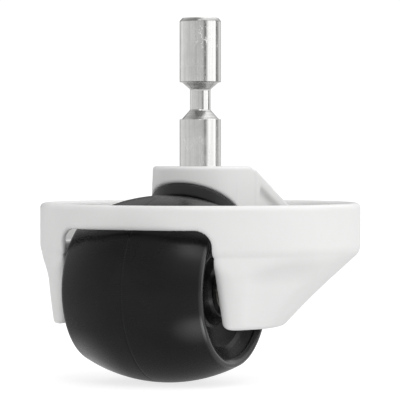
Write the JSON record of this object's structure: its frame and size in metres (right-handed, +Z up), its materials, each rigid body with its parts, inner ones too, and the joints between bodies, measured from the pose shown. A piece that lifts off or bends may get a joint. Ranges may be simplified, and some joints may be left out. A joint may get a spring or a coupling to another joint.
{
  "type": "chair caster wheel",
  "caption": "Hooded chair caster with a necked grip stem, swivelling moulded hood and a wide barrel-shaped wheel on a cross axle.",
  "frame": {"origin": "centre of the stem's top end face", "axes": "+Z up along the stem and swivel axis, X along the wheel axle, -Y towards the trailing wheel"},
  "size_m": [0.0852, 0.0863, 0.0952],
  "materials": {
    "white_plastic": "semi-gloss moulded plastic, off-white",
    "steel": "turned and bright plated steel",
    "spring_steel": "dark spring steel",
    "black_core": "semi-gloss moulded nylon, black",
    "black_tread": "satin moulded tread, black",
    "black_insert": "satin moulded nylon, black",
    "bush_plastic": "natural acetal bearing plastic"
  },
  "bodies": {
    "stem": {"stem_pin": "steel", "stem_clip": "spring_steel"},
    "hood": {"hood_frame": "white_plastic", "socket_insert": "black_insert", "swivel_bush": "bush_plastic", "thrust_disc": "spring_steel", "axle_pin": "steel", "side_washer_left": "bush_plastic", "side_washer_right": "bush_plastic"},
    "wheel": {"wheel_core_left": "black_core", "wheel_core_right": "black_core", "tread_left": "black_tread", "tread_right": "black_tread", "hub_bush_left": "bush_plastic", "hub_bush_right": "bush_plastic"}
  },
  "joints": [
    {"name": "swivel", "type": "hinge", "parent": "stem", "child": "hood", "pos_m": [0, 0, -0.0449], "axis": [0, 0, 1], "continuous": true},
    {"name": "wheel_spin", "type": "hinge", "parent": "hood", "child": "wheel", "pos_m": [0, -0.0195, -0.071], "axis": [1, 0, 0], "continuous": true}
  ]
}
